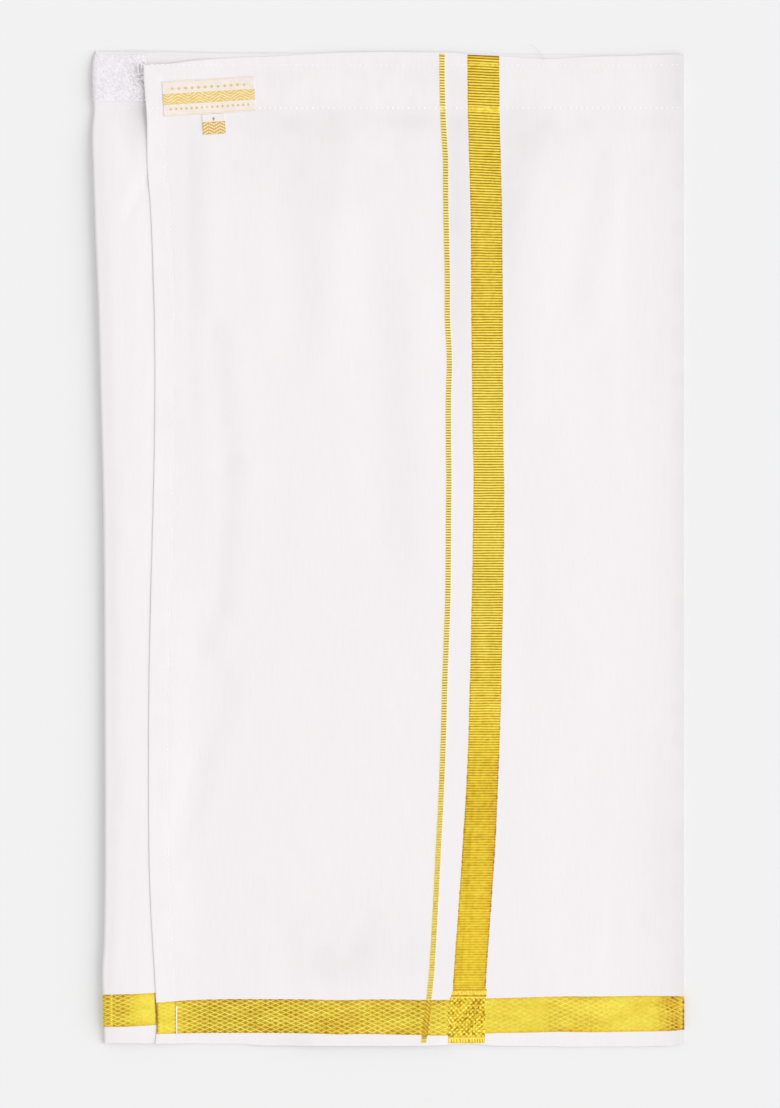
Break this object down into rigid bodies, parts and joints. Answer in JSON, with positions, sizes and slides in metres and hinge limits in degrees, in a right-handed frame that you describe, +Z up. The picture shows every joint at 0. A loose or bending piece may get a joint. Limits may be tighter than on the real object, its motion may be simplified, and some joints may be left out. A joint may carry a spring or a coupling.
{
  "type": "folded dhoti cloth",
  "caption": "Child's ready-made white cotton dhoti with gold zari stripe, line and border, folded flat in layers, with a loop tape, a woven label and a size tab.",
  "frame": {"origin": "on the floor under the middle of the folded cloth's outline", "axes": "+Y from the bottom border to the waist, +X from the left fold to the right fold, +Z up from the floor"},
  "size_m": [0.3565, 0.5984, 0.0065],
  "materials": {
    "cotton": "plain-woven white cotton, crisp and matte, with woven-in gold zari bands",
    "pile_tape": "white loop pile of a touch fastener",
    "label_satin": "cream woven label with a gold twill band",
    "label_gold": "woven tab with a gold chevron"
  },
  "bodies": {
    "root": {"folded_layers": "cotton", "outer_flap": "cotton", "loop_tape": "pile_tape", "woven_label": "label_satin", "size_tab": "label_gold"}
  },
  "joints": []
}
